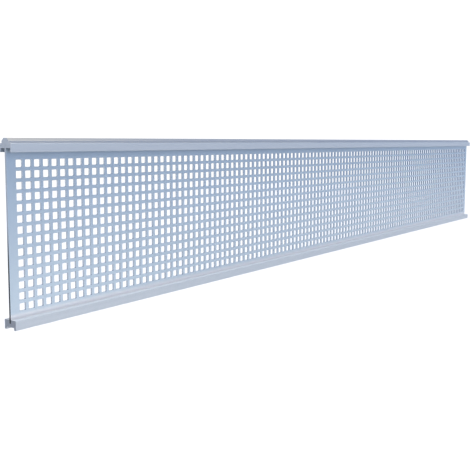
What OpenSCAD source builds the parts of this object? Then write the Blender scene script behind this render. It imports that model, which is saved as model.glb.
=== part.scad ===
// Decorative infill panel for a composite-board fence.
// A perforated aluminium sheet stands between two aluminium extrusions.
// The upper extrusion has a tongue and the lower one a groove, so the panel
// takes the place of a tongue-and-groove board between two posts.
// Millimetres, +Z up. Origin: middle of the seat inside the lower groove.

/* [Panel] */
// Length of the sheet and of both rails, from post to post
panel_length = 1795; // [900:5:2400]
// Height of sheet that shows between the two rails
sheet_clear_height = 225; // [120:5:600]

/* [Perforated sheet] */
// Thickness of the sheet
sheet_thickness = 3; // [1:0.1:4]
// Side of one square hole
hole_size = 10; // [5:0.5:12]
// Distance from one hole's centre to the next
hole_pitch = 15; // [13:0.5:30]
// Least solid border between the holes and the sheet's ends
least_end_border = 12; // [8:0.5:40]
// Least solid border between the holes and the rails
least_rail_border = 8; // [4:0.5:40]

/* [Rails] */
// Width of both rails across the panel
rail_width = 24; // [22:0.5:40]
// How far the sheet goes into the slot of each rail
slot_depth = 5; // [2:0.1:5.2]
// Gap between the sheet and each side of its slot
slot_clearance = 0.1; // [0.05:0.05:0.3]

/* [Top rail] */
// Height of the web between the skirts and the shoulders
top_web_height = 6.5; // [5.5:0.1:12]
// Width of the tongue at its foot
tongue_width = 15; // [11:0.5:17]
// Height of the tongue above the rail's shoulders
tongue_height = 7; // [5:0.25:9]
// Leg of the two bevels along the tongue's top
tongue_bevel = 4; // [1:0.25:4.75]
// Height of the skirts that hang below the web
skirt_height = 5.5; // [2:0.5:12]
// Thickness of those skirts
skirt_thickness = 1.8; // [1.2:0.1:3]

/* [Bottom rail] */
// Height of the web between the groove and the flat top
bottom_web_height = 9.8; // [5.5:0.1:16]
// Depth of the groove that sits on the tongue of the board below
groove_depth = 3.5; // [1.6:0.1:8]
// Gap between that tongue and each leg of the groove
groove_side_gap = 0.5; // [0.2:0.1:2.2]

/* [Node to build] */
// One node's name, or all

/* [Hidden] */
// The one sheet is cut into this many nodes to keep each file small
sheet_nodes = 4;
coat_colour = [0.66, 0.71, 0.78];
sheet_colour = [0.62, 0.69, 0.79];
// How far a cutting solid runs past the face it opens
cut_over = 1;

half_rail = rail_width / 2;
half_slot = sheet_thickness / 2 + slot_clearance;
half_tongue = tongue_width / 2;
half_groove = half_tongue + groove_side_gap;
half_cavity = half_rail - skirt_thickness;

// Heights above the groove seat
web_top_z = bottom_web_height;
slot_floor_z = web_top_z - slot_depth;
skirt_z = web_top_z + sheet_clear_height;
top_web_z = skirt_z + skirt_height;
slot_roof_z = top_web_z + slot_depth;
shoulder_z = top_web_z + top_web_height;
sheet_height = slot_roof_z - slot_floor_z;

// The grid of holes is centred in the part of the sheet that shows
columns = 1 + floor((panel_length - 2 * least_end_border - hole_size) / hole_pitch);
rows = 1 + floor((sheet_clear_height - 2 * least_rail_border - hole_size) / hole_pitch);
first_column_x = -(columns - 1) * hole_pitch / 2;
first_row_z = web_top_z + sheet_clear_height / 2 - (rows - 1) * hole_pitch / 2;
bar_width = hole_pitch - hole_size;

// Draws a section, given as points across and up, along the panel's length
module extruded_along_panel() {
    rotate([90, 0, 90])
        linear_extrude(height = panel_length, center = true)
            children();
}

module bottom_rail_section() {
    polygon([
        [-half_rail, -groove_depth],
        [-half_groove, -groove_depth],
        [-half_groove, 0],
        [half_groove, 0],
        [half_groove, -groove_depth],
        [half_rail, -groove_depth],
        [half_rail, web_top_z],
        [half_slot, web_top_z],
        [half_slot, slot_floor_z],
        [-half_slot, slot_floor_z],
        [-half_slot, web_top_z],
        [-half_rail, web_top_z]
    ]);
}

module top_rail_section() {
    polygon([
        [-half_rail, skirt_z],
        [-half_cavity, skirt_z],
        [-half_cavity, top_web_z],
        [-half_slot, top_web_z],
        [-half_slot, slot_roof_z],
        [half_slot, slot_roof_z],
        [half_slot, top_web_z],
        [half_cavity, top_web_z],
        [half_cavity, skirt_z],
        [half_rail, skirt_z],
        [half_rail, shoulder_z],
        [half_tongue, shoulder_z],
        [half_tongue, shoulder_z + tongue_height - tongue_bevel],
        [half_tongue - tongue_bevel, shoulder_z + tongue_height],
        [tongue_bevel - half_tongue, shoulder_z + tongue_height],
        [-half_tongue, shoulder_z + tongue_height - tongue_bevel],
        [-half_tongue, shoulder_z],
        [-half_rail, shoulder_z]
    ]);
}

module bottom_rail() {
    color(coat_colour)
        extruded_along_panel()
            bottom_rail_section();
}

module top_rail() {
    color(coat_colour)
        extruded_along_panel()
            top_rail_section();
}

// Where one node of the sheet ends: a panel end, or the middle of a bar
function first_column(index) = floor(index * columns / sheet_nodes);
function sheet_cut_x(index) =
    index == 0 ? -panel_length / 2 :
    index == sheet_nodes ? panel_length / 2 :
    first_column_x + (first_column(index) - 0.5) * hole_pitch;

// One stretch of the sheet. Each column of holes is cut as one tall slot,
// then the bars between the rows are put back, which gives square holes.
module perforated_sheet(index) {
    start_x = sheet_cut_x(index);
    end_x = sheet_cut_x(index + 1);
    lowest_hole_z = first_row_z - hole_size / 2;
    slot_run = (rows - 1) * hole_pitch + hole_size;
    color(sheet_colour)
        union() {
            difference() {
                translate([start_x, -sheet_thickness / 2, slot_floor_z])
                    cube([end_x - start_x, sheet_thickness, sheet_height]);
                for (column = [first_column(index) : first_column(index + 1) - 1])
                    translate([
                        first_column_x + column * hole_pitch - hole_size / 2,
                        -sheet_thickness / 2 - cut_over,
                        lowest_hole_z
                    ])
                        cube([hole_size, sheet_thickness + 2 * cut_over, slot_run]);
            }
            for (row = [0 : rows - 2])
                translate([
                    start_x,
                    -sheet_thickness / 2,
                    lowest_hole_z + hole_size + row * hole_pitch
                ])
                    cube([end_x - start_x, sheet_thickness, bar_width]);
        }
}

module perforated_sheet_1() {
    perforated_sheet(0);
}

module perforated_sheet_2() {
    perforated_sheet(1);
}

module perforated_sheet_3() {
    perforated_sheet(2);
}

module perforated_sheet_4() {
    perforated_sheet(3);
}

bottom_rail();
top_rail();
perforated_sheet_1();
perforated_sheet_2();
perforated_sheet_3();
perforated_sheet_4();
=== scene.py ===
"""Perforated infill panel for a composite-board fence.

A punched aluminium sheet stands in the slots of two aluminium extrusions: a
top rail with a bevelled tongue and a bottom rail with a groove. Lengths are
written in millimetres and turned into metres where a mesh is made. X runs
along the panel, Y from front to back and Z up from the seat of the groove.
"""
from math import radians, tan

import bpy
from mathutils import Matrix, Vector
from mathutils.geometry import tessellate_polygon


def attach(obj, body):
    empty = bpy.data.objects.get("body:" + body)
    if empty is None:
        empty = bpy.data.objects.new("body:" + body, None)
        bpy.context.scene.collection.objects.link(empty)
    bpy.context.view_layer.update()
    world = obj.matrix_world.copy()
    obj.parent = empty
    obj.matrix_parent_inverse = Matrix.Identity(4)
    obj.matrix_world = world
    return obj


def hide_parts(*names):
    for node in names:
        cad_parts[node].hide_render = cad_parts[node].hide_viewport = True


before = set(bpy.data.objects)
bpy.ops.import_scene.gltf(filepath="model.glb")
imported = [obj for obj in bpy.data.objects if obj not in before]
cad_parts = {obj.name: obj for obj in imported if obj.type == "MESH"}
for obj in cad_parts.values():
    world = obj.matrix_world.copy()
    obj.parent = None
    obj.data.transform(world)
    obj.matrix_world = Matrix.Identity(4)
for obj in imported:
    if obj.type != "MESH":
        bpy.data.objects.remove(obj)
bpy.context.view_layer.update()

MM = 0.001

# Panel, as in model.glb
PANEL_LENGTH = 1795.0
SHEET_CLEAR_HEIGHT = 225.0
SHEET_THICKNESS = 3.0
HOLE_SIZE = 10.0
HOLE_PITCH = 15.0
COLUMNS = 118
ROWS = 14
RAIL_WIDTH = 24.0
SLOT_DEPTH = 5.0
SLOT_CLEARANCE = 0.1
TOP_WEB_HEIGHT = 6.5
TONGUE_WIDTH = 15.0
TONGUE_HEIGHT = 7.0
TONGUE_BEVEL = 4.0
SKIRT_HEIGHT = 5.5
SKIRT_THICKNESS = 1.8
BOTTOM_WEB_HEIGHT = 9.8
GROOVE_DEPTH = 3.5
GROOVE_SIDE_GAP = 0.5

# Finish of the edges
DIE_RADIUS = 0.5        # outside corners of the extrusions
PUNCH_CORNER = 0.4      # corner radius of a punched hole
ROLL_OVER = 0.2         # edge drawn in where the punch enters, at the front
BREAK_EDGE = 0.15       # edge broken where the punch leaves, at the back
LEVEL = 0.01            # heights closer than this count as the same
HOLE_POINTS = 8         # points in one ring round a hole

# Marks painted on the sheet, as heights above the seat of the groove
PAINTED_FOOT_LIGHT_END = BOTTOM_WEB_HEIGHT + 10.0     # painted light on the sheet's foot fades out up to here
EDGE_DARKEN_START = 150.0                     # the sheet's edges start to darken here
EDGE_DARKEN_FULL = 75.0                       # and are darkest from here down

# Places in a piece's list of materials
COATED, CUT, BARE = 0, 1, 2

FLOOR_DROP = 1200.0     # the panel hangs between its posts, this far clear of the ground

HALF_RAIL = RAIL_WIDTH / 2
HALF_SLOT = SHEET_THICKNESS / 2 + SLOT_CLEARANCE
HALF_TONGUE = TONGUE_WIDTH / 2
HALF_GROOVE = HALF_TONGUE + GROOVE_SIDE_GAP
SKIRT_Z = BOTTOM_WEB_HEIGHT + SHEET_CLEAR_HEIGHT
TOP_WEB_Z = SKIRT_Z + SKIRT_HEIGHT
SHOULDER_Z = TOP_WEB_Z + TOP_WEB_HEIGHT
SHEET_LOW_Z = BOTTOM_WEB_HEIGHT - SLOT_DEPTH
SHEET_HIGH_Z = TOP_WEB_Z + SLOT_DEPTH
FLOOR_Z = -GROOVE_DEPTH - FLOOR_DROP


def linear(hex_colour):
    """Turn an sRGB hex colour into linear RGBA."""
    channels = [int(hex_colour[i:i + 2], 16) / 255 for i in (1, 3, 5)]
    return [c / 12.92 if c <= 0.04045 else ((c + 0.055) / 1.055) ** 2.4
            for c in channels] + [1.0]


def grey(level):
    """Give a neutral light of any strength as RGBA."""
    return (level, level, level, 1.0)


def add(tree, kind, settings=None, **inputs):
    """Add a node, set its properties, and set or link its inputs by name, or by
    number where the name is an underscore and a number."""
    made = tree.nodes.new(kind)
    for name, value in (settings or {}).items():
        setattr(made, name, value)
    for name, value in inputs.items():
        socket = made.inputs[int(name[1:]) if name[0] == "_" else name.replace("_", " ")]
        if isinstance(value, bpy.types.NodeSocket):
            tree.links.new(value, socket)
        else:
            socket.default_value = value
    return made


def new_material(name):
    """Return a new material and its empty node tree."""
    material = bpy.data.materials.new(name)
    material.use_nodes = True
    material.node_tree.nodes.clear()
    return material, material.node_tree


def coated_extrusion():
    """Powder-coated aluminium, extruded: a satin blue-grey coat with a little
    metal flake, over die lines that run the length of the rail."""
    material, tree = new_material("satin_powder_coated_extruded_aluminium")
    place = add(tree, "ShaderNodeTexCoord").outputs["Object"]
    # Die lines 1.4 mm apart, drawn coarser than real so that they show.
    along = add(tree, "ShaderNodeMapping", Vector=place, Scale=(2.0, 700.0, 700.0))
    lines = add(tree, "ShaderNodeTexNoise", Vector=along.outputs["Vector"], Scale=1.0, Detail=3.0)
    # Orange peel of the baked coat, waves of about 2 mm.
    peel = add(tree, "ShaderNodeTexNoise", Vector=place, Scale=500.0, Detail=2.0)
    tone = add(tree, "ShaderNodeMix", {"data_type": "RGBA"}, Factor=lines.outputs["Fac"],
               _6=linear("#9DA2A7"), _7=linear("#A2A8AD"))
    rough = add(tree, "ShaderNodeMapRange", Value=peel.outputs["Fac"], To_Min=0.34, To_Max=0.40)
    height = add(tree, "ShaderNodeMath", {"operation": "ADD"}, _0=lines.outputs["Fac"],
                 _1=peel.outputs["Fac"])
    bump = add(tree, "ShaderNodeBump", Strength=0.03, Distance=0.05 * MM,
               Height=height.outputs["Value"])
    shader = add(tree, "ShaderNodeBsdfPrincipled", Base_Color=tone.outputs[2], Metallic=0.35,
                 Roughness=rough.outputs["Result"], Normal=bump.outputs["Normal"])
    add(tree, "ShaderNodeOutputMaterial", Surface=shader.outputs["BSDF"])
    return material


def coated_sheet():
    """Powder-coated aluminium, rolled and punched: a bluer satin coat with
    more flake than the rails, and faint clouds where it was sprayed thicker."""
    material, tree = new_material("satin_powder_coated_punched_aluminium")
    place = add(tree, "ShaderNodeTexCoord").outputs["Object"]
    # Spray clouds of about 60 mm.
    cloud = add(tree, "ShaderNodeTexNoise", Vector=place, Scale=17.0, Detail=2.0)
    # Orange peel of the baked coat, waves of about 2 mm.
    peel = add(tree, "ShaderNodeTexNoise", Vector=place, Scale=500.0, Detail=2.0)
    tone = add(tree, "ShaderNodeMix", {"data_type": "RGBA"}, Factor=cloud.outputs["Fac"],
               _6=linear("#97A4AE"), _7=linear("#9DAAB4"))
    # Painted light along the sheet's foot: lightest at the rail and fading out over its lowest 10
    # mm, in place of the rail top's bright reflection and against the shade in the corner.
    height = add(tree, "ShaderNodeSeparateXYZ", Vector=place).outputs["Z"]
    painted_foot_light = add(tree, "ShaderNodeMapRange", {"interpolation_type": "SMOOTHSTEP"}, Value=height,
               From_Min=PAINTED_FOOT_LIGHT_END * MM, From_Max=BOTTOM_WEB_HEIGHT * MM, To_Max=0.65)
    tone = add(tree, "ShaderNodeMix", {"data_type": "RGBA"}, Factor=painted_foot_light.outputs["Result"],
               _6=tone.outputs[2], _7=linear("#D4CCC8"))
    rough = add(tree, "ShaderNodeMapRange", Value=peel.outputs["Fac"], To_Min=0.27, To_Max=0.31)
    bump = add(tree, "ShaderNodeBump", Strength=0.02, Distance=0.05 * MM,
               Height=peel.outputs["Fac"])
    shader = add(tree, "ShaderNodeBsdfPrincipled", Base_Color=tone.outputs[2], Metallic=0.4,
                 Roughness=rough.outputs["Result"], Normal=bump.outputs["Normal"])
    add(tree, "ShaderNodeOutputMaterial", Surface=shader.outputs["BSDF"])
    return material


def bare_tongue():
    """Bare aluminium with its mill finish, as extruded, where the next board
    hides it: a neutral metal grey that takes its tone from the room, with fine
    die lines along the tongue."""
    material, tree = new_material("mill_finish_bare_aluminium")
    place = add(tree, "ShaderNodeTexCoord").outputs["Object"]
    # Die lines 1 mm apart, drawn coarser than real so that they show.
    along = add(tree, "ShaderNodeMapping", Vector=place, Scale=(2.0, 1000.0, 1000.0))
    lines = add(tree, "ShaderNodeTexNoise", Vector=along.outputs["Vector"], Scale=1.0, Detail=3.0)
    tone = add(tree, "ShaderNodeMix", {"data_type": "RGBA"}, Factor=lines.outputs["Fac"],
               _6=linear("#ADACA9"), _7=linear("#B3B2AF"))
    rough = add(tree, "ShaderNodeMapRange", Value=lines.outputs["Fac"], To_Min=0.28, To_Max=0.36)
    shader = add(tree, "ShaderNodeBsdfPrincipled", Base_Color=tone.outputs[2], Metallic=0.85,
                 Roughness=rough.outputs["Result"])
    add(tree, "ShaderNodeOutputMaterial", Surface=shader.outputs["BSDF"])
    return material


def sawn_end():
    """Bare aluminium, sawn across: greyer than the coat and darkened with painted
    shade, as the ends face away from the light, with upright saw marks."""
    material, tree = new_material("sawn_bare_aluminium")
    place = add(tree, "ShaderNodeTexCoord").outputs["Object"]
    # Saw marks 0.8 mm apart.
    across = add(tree, "ShaderNodeMapping", Vector=place, Scale=(1.0, 1250.0, 120.0))
    marks = add(tree, "ShaderNodeTexNoise", Vector=across.outputs["Vector"], Scale=1.0, Detail=2.0)
    # Dark greys: painted shade for ends that face away from the light.
    tone = add(tree, "ShaderNodeMix", {"data_type": "RGBA"}, Factor=marks.outputs["Fac"],
               _6=linear("#7B8087"), _7=linear("#92979E"))
    rough = add(tree, "ShaderNodeMapRange", Value=marks.outputs["Fac"], To_Min=0.4, To_Max=0.55)
    bump = add(tree, "ShaderNodeBump", Strength=0.25, Distance=0.08 * MM,
               Height=marks.outputs["Fac"])
    shader = add(tree, "ShaderNodeBsdfPrincipled", Base_Color=tone.outputs[2], Metallic=0.8,
                 Roughness=rough.outputs["Result"], Normal=bump.outputs["Normal"])
    add(tree, "ShaderNodeOutputMaterial", Surface=shader.outputs["BSDF"])
    return material


def sheared_edge():
    """Bare aluminium, cut with shears: a grey edge with marks that run through
    the sheet, turning near black towards the bottom."""
    material, tree = new_material("sheared_bare_aluminium")
    place = add(tree, "ShaderNodeTexCoord").outputs["Object"]
    # Shear marks 2 mm apart, drawn coarser than real so that they show.
    through = add(tree, "ShaderNodeMapping", Vector=place, Scale=(500.0, 60.0, 500.0))
    marks = add(tree, "ShaderNodeTexNoise", Vector=through.outputs["Vector"], Scale=1.0, Detail=2.0)
    tone = add(tree, "ShaderNodeMix", {"data_type": "RGBA"}, Factor=marks.outputs["Fac"],
               _6=linear("#9EA3A9"), _7=linear("#AAAFB5"))
    # The edge darkens towards the bottom.
    height = add(tree, "ShaderNodeSeparateXYZ", Vector=place).outputs["Z"]
    edge_darkening = add(tree, "ShaderNodeMapRange", {"interpolation_type": "SMOOTHSTEP"}, Value=height,
                From_Min=EDGE_DARKEN_START * MM, From_Max=EDGE_DARKEN_FULL * MM)
    tone = add(tree, "ShaderNodeMix", {"data_type": "RGBA"}, Factor=edge_darkening.outputs["Result"],
               _6=tone.outputs[2], _7=linear("#1A1E22"))
    rough = add(tree, "ShaderNodeMapRange", Value=marks.outputs["Fac"], To_Min=0.4, To_Max=0.55)
    shader = add(tree, "ShaderNodeBsdfPrincipled", Base_Color=tone.outputs[2], Metallic=0.8,
                 Roughness=rough.outputs["Result"])
    add(tree, "ShaderNodeOutputMaterial", Surface=shader.outputs["BSDF"])
    return material


def punched_wall():
    """Bare aluminium, burnished by the punch on its way through: a grey, half
    bright wall in every hole, streaked from front to back."""
    material, tree = new_material("punch_burnished_bare_aluminium")
    place = add(tree, "ShaderNodeTexCoord").outputs["Object"]
    # Streaks 0.7 mm apart that run through the sheet.
    through = add(tree, "ShaderNodeMapping", Vector=place, Scale=(1400.0, 60.0, 1400.0))
    streaks = add(tree, "ShaderNodeTexNoise", Vector=through.outputs["Vector"], Scale=1.0,
                  Detail=2.0)
    tone = add(tree, "ShaderNodeMix", {"data_type": "RGBA"}, Factor=streaks.outputs["Fac"],
               _6=linear("#A5ACB3"), _7=linear("#AEB5BC"))
    shader = add(tree, "ShaderNodeBsdfPrincipled", Base_Color=tone.outputs[2], Metallic=0.8,
                 Roughness=0.25)
    add(tree, "ShaderNodeOutputMaterial", Surface=shader.outputs["BSDF"])
    return material


def studio_floor():
    """Matt white paper sweep: no gloss, a very faint tooth."""
    material, tree = new_material("matt_white_paper_floor")
    place = add(tree, "ShaderNodeTexCoord").outputs["Object"]
    # Tooth of the paper, drawn as coarse as 17 mm so that it shows.
    tooth = add(tree, "ShaderNodeTexNoise", Vector=place, Scale=60.0, Detail=2.0)
    tone = add(tree, "ShaderNodeMix", {"data_type": "RGBA"}, Factor=tooth.outputs["Fac"],
               _6=linear("#AAAAAB"), _7=linear("#ADADAE"))
    shader = add(tree, "ShaderNodeBsdfPrincipled", Base_Color=tone.outputs[2], Roughness=0.95,
                 Specular_IOR_Level=0.0)
    add(tree, "ShaderNodeOutputMaterial", Surface=shader.outputs["BSDF"])
    return material


def rounded(corners, radius, steps=4):
    """Round every corner of a closed outline, less where two corners lie close."""
    outline = []
    count = len(corners)
    for i in range(count):
        here = Vector(corners[i])
        back = Vector(corners[i - 1]) - here
        ahead = Vector(corners[(i + 1) % count]) - here
        turn = back.angle(ahead)
        # A corner takes less than half of each side beside it.
        reach = min(radius / tan(turn / 2), 0.45 * back.length, 0.45 * ahead.length)
        start = here + back.normalized() * reach
        end = here + ahead.normalized() * reach
        for step in range(steps + 1):
            t = step / steps
            outline.append((1 - t) ** 2 * start + 2 * t * (1 - t) * here + t ** 2 * end)
    return outline


def mesh_object(name, points, faces, materials, material_of_face=None):
    """Make an object from points in millimetres."""
    mesh = bpy.data.meshes.new(name)
    mesh.from_pydata([Vector(p) * MM for p in points], [], faces)
    for material in materials:
        mesh.materials.append(material)
    if material_of_face:
        for polygon, index in zip(mesh.polygons, material_of_face):
            polygon.material_index = index
    mesh.validate()
    made = bpy.data.objects.new(name, mesh)
    bpy.context.scene.collection.objects.link(made)
    return made


def extruded_rail(name, corners, materials, bare_above):
    """Draw a section along the panel and close its two ends. What stands above
    the given height has no coat."""
    ring = rounded(corners, DIE_RADIUS)
    size = len(ring)
    half = PANEL_LENGTH / 2
    points = [(-half, p.x, p.y) for p in ring] + [(half, p.x, p.y) for p in ring]
    faces = [(i, (i + 1) % size, (i + 1) % size + size, i + size) for i in range(size)]
    lowest = [min(ring[i].y, ring[(i + 1) % size].y) for i in range(size)]
    slots = [BARE if low > bare_above + LEVEL else COATED for low in lowest]
    for a, b, c in tessellate_polygon([[Vector((p.x, p.y, 0)) for p in ring]]):
        if (ring[b] - ring[a]).cross(ring[c] - ring[a]) < 0:
            b, c = c, b
        faces += [(a, c, b), (a + size, b + size, c + size)]
        slots += [CUT, CUT]
    return mesh_object(name, points, faces, materials, slots)


def bottom_rail(materials):
    """Rail with a flat top, a slot for the sheet, and a groove between two legs."""
    top = BOTTOM_WEB_HEIGHT
    floor = top - SLOT_DEPTH
    return extruded_rail("bottom_rail_extrusion", [
        (-HALF_RAIL, -GROOVE_DEPTH), (-HALF_GROOVE, -GROOVE_DEPTH), (-HALF_GROOVE, 0.0),
        (HALF_GROOVE, 0.0), (HALF_GROOVE, -GROOVE_DEPTH), (HALF_RAIL, -GROOVE_DEPTH),
        (HALF_RAIL, top), (HALF_SLOT, top), (HALF_SLOT, floor),
        (-HALF_SLOT, floor), (-HALF_SLOT, top), (-HALF_RAIL, top),
    ], materials, bare_above=top)


def top_rail(materials):
    """Rail with two skirts, a slot for the sheet, and a bevelled tongue on top."""
    inner = HALF_RAIL - SKIRT_THICKNESS
    roof = TOP_WEB_Z + SLOT_DEPTH
    tip = SHOULDER_Z + TONGUE_HEIGHT
    return extruded_rail("top_rail_extrusion", [
        (-HALF_RAIL, SKIRT_Z), (-inner, SKIRT_Z), (-inner, TOP_WEB_Z), (-HALF_SLOT, TOP_WEB_Z),
        (-HALF_SLOT, roof), (HALF_SLOT, roof), (HALF_SLOT, TOP_WEB_Z), (inner, TOP_WEB_Z),
        (inner, SKIRT_Z), (HALF_RAIL, SKIRT_Z), (HALF_RAIL, SHOULDER_Z), (HALF_TONGUE, SHOULDER_Z),
        (HALF_TONGUE, tip - TONGUE_BEVEL), (HALF_TONGUE - TONGUE_BEVEL, tip),
        (TONGUE_BEVEL - HALF_TONGUE, tip), (-HALF_TONGUE, tip - TONGUE_BEVEL),
        (-HALF_TONGUE, SHOULDER_Z), (-HALF_RAIL, SHOULDER_Z),
    ], materials, bare_above=SHOULDER_Z)


def hole_ring(x, z, half, depth):
    """Give the points round one hole, counter-clockwise seen from the front."""
    near = half - PUNCH_CORNER
    plan = [(-near, -half), (near, -half), (half, -near), (half, near),
            (near, half), (-near, half), (-half, near), (-half, -near)]
    return [(x + u, depth, z + v) for u, v in plan]


def punched_sheet(materials):
    """One sheet with every hole drawn in at the front edge and broken at the back."""
    half = SHEET_THICKNESS / 2
    first_x = -(COLUMNS - 1) * HOLE_PITCH / 2
    first_z = BOTTOM_WEB_HEIGHT + SHEET_CLEAR_HEIGHT / 2 - (ROWS - 1) * HOLE_PITCH / 2
    bars_x = [first_x + (i - 0.5) * HOLE_PITCH for i in range(COLUMNS + 1)]
    bars_z = [first_z + (j - 0.5) * HOLE_PITCH for j in range(ROWS + 1)]
    lines_x = [-PANEL_LENGTH / 2] + bars_x + [PANEL_LENGTH / 2]
    lines_z = [SHEET_LOW_Z] + bars_z + [SHEET_HIGH_Z]
    rings = ((HOLE_SIZE / 2 + ROLL_OVER, -half), (HOLE_SIZE / 2, ROLL_OVER - half),
             (HOLE_SIZE / 2, half - BREAK_EDGE), (HOLE_SIZE / 2 + BREAK_EDGE, half))
    to_back = (len(rings) - 1) * HOLE_POINTS
    wide, tall = len(lines_x), len(lines_z)
    points = [(x, depth, z) for depth in (-half, half) for z in lines_z for x in lines_x]
    behind = wide * tall
    faces, walls = [], set()

    def corner(i, j):
        return j * wide + i

    for j in range(tall - 1):
        for i in range(wide - 1):
            a, b, c, d = corner(i, j), corner(i + 1, j), corner(i + 1, j + 1), corner(i, j + 1)
            if not (0 < i < wide - 2 and 0 < j < tall - 2):
                faces += [(a, b, c, d), (d + behind, c + behind, b + behind, a + behind)]
                continue
            x, z = first_x + (i - 1) * HOLE_PITCH, first_z + (j - 1) * HOLE_PITCH
            start = len(points)
            for size, depth in rings:
                points += hole_ring(x, z, size, depth)
            for first in range(start, start + to_back, HOLE_POINTS):
                for k in range(HOLE_POINTS):
                    p, q = first + k, first + (k + 1) % HOLE_POINTS
                    walls.add(len(faces))
                    faces.append((p, q, q + HOLE_POINTS, p + HOLE_POINTS))
            for k, (p, q) in enumerate(((a, b), (b, c), (c, d), (d, a))):
                s = start + 2 * k
                t = s + to_back
                last = start + (2 * k - 1) % HOLE_POINTS
                faces += [(p, q, s + 1, s), (p, s, last)]
                faces += [(q + behind, p + behind, t, t + 1), (p + behind, last + to_back, t)]
    slots = [BARE if k in walls else COATED for k in range(len(faces))]
    for i in range(wide - 1):
        low, high = corner(i, 0), corner(i, tall - 1)
        faces += [(low, low + behind, low + behind + 1, low + 1),
                  (high + 1, high + behind + 1, high + behind, high)]
    for j in range(tall - 1):
        left, right = corner(0, j), corner(wide - 1, j)
        faces += [(left + wide, left + wide + behind, left + behind, left),
                  (right, right + behind, right + behind + wide, right + wide)]
    slots += [CUT] * (len(faces) - len(slots))
    return mesh_object("punched_sheet", points, faces, materials, slots)


def studio_light():
    """Soft light from above, a weaker lamp in front, a pool of warm light on the
    floor and a cool room for the panel to reflect. The eye itself sees a plain
    white backdrop."""
    scene = bpy.context.scene
    world = bpy.data.worlds.new("studio")
    world.use_nodes = True
    scene.world = world
    tree = world.node_tree
    tree.nodes.clear()
    look = add(tree, "ShaderNodeTexCoord").outputs["Generated"]
    white = grey(1.1)
    colour = linear("#97B4E7")
    # Patches of the room: middle, cosines where the patch starts and is full, and light.
    for middle, start, full, light in (
            ((-0.6, 0.8, 0.0), 0.93, 0.995, grey(1.6)),             # screen behind, on the left
            ((0.97, -0.24, 0.0), 0.93, 0.995, linear("#BCD4FA")),   # pale wall, on the right
            ((0.6, 0.8, 0.0), 0.6, 0.78, white),                    # wall behind the panel
            ((0.0, 0.0, 1.0), 0.70, 0.80, grey(1.2)),               # overhead screen
            ((0.50, -0.69, 0.53), 0.94, 0.97, grey(3.4))):          # soft box, front right
        facing = add(tree, "ShaderNodeVectorMath", {"operation": "DOT_PRODUCT"}, _0=look, _1=middle)
        share = add(tree, "ShaderNodeMapRange", {"interpolation_type": "SMOOTHSTEP"},
                    Value=facing.outputs["Value"], From_Min=start, From_Max=full)
        colour = add(tree, "ShaderNodeMix", {"data_type": "RGBA"}, Factor=share.outputs["Result"],
                     _6=colour, _7=light).outputs[2]
    eye = add(tree, "ShaderNodeLightPath").outputs["Is Camera Ray"]
    seen = add(tree, "ShaderNodeMix", {"data_type": "RGBA"}, Factor=eye, _6=colour, _7=white)
    sky = add(tree, "ShaderNodeBackground", Color=seen.outputs[2], Strength=1.0)
    add(tree, "ShaderNodeOutputWorld", Surface=sky.outputs["Background"])

    # Lamps: which way the light travels, its strength, and how wide the lamp looks in degrees.
    for name, travel, strength, width in (
            ("high_lamp", (-0.05, 0.12, -0.99), 5.2, 18),
            ("front_lamp", (0.1, 0.99, -0.05), 1.12, 40)):
        lamp = bpy.data.lights.new(name, "SUN")
        lamp.energy = strength
        lamp.angle = radians(width)
        hung = bpy.data.objects.new(name, lamp)
        hung.rotation_euler = Vector(travel).to_track_quat("-Z", "Y").to_euler()
        hung.visible_glossy = False
        scene.collection.objects.link(hung)

    # A spot that points straight down in front of the panel, 1.8 m above the floor. The lower
    # left of the panel mirrors the floor that it lights.
    spot = bpy.data.lights.new("floor_lamp", "SPOT")
    spot.energy = 1050.0
    spot.color = (1.0, 0.92, 0.82)
    spot.spot_size = radians(100)
    spot.spot_blend = 1.0
    spot.shadow_soft_size = 0.3
    hung = bpy.data.objects.new("floor_lamp", spot)
    hung.location = Vector((2000.0, -4000.0, FLOOR_Z + 1800.0)) * MM
    scene.collection.objects.link(hung)

    scene.view_settings.view_transform = "Standard"
    scene.view_settings.look = "None"


def paper_floor(material):
    """Lay the paper from well behind the camera to far behind the panel."""
    near, far = -10000.0, 20000.0
    sweep = mesh_object("paper_floor", [(-far, near, FLOOR_Z), (far, near, FLOOR_Z),
                                        (far, far, FLOOR_Z), (-far, far, FLOOR_Z)],
                        [(0, 1, 2, 3)], [material])


def photo_camera():
    """Stand the camera where the holes' places in the picture put it."""
    lens = bpy.data.cameras.new("camera")
    lens.sensor_width = 36.0
    lens.lens = 54.79
    lens.shift_x = 0.0181
    lens.shift_y = -0.0539
    lens.clip_start = 0.01
    lens.clip_end = 100.0
    made = bpy.data.objects.new("camera", lens)
    made.location = Vector((-1474.26, -801.55, 248.46)) * MM
    tilt_down, turn_right = 5.416, 52.873
    made.rotation_euler = (radians(90 - tilt_down), 0.0, radians(-turn_right))
    bpy.context.scene.collection.objects.link(made)
    bpy.context.scene.camera = made


photo_camera()
studio_light()
paper_floor(studio_floor())

rail_coat, sheet_coat = coated_extrusion(), coated_sheet()
sawn, burnished = sawn_end(), punched_wall()

low_rail = bottom_rail([rail_coat, sawn])
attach(low_rail, "root")
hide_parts("bottom_rail")

# The coat covers the top rail's ends too; the bottom rail was sawn after coating.
high_rail = top_rail([rail_coat, rail_coat, bare_tongue()])
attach(high_rail, "root")
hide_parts("top_rail")

sheet = punched_sheet([sheet_coat, sheared_edge(), burnished])
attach(sheet, "root")
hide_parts("perforated_sheet_1", "perforated_sheet_2",
            "perforated_sheet_3", "perforated_sheet_4")
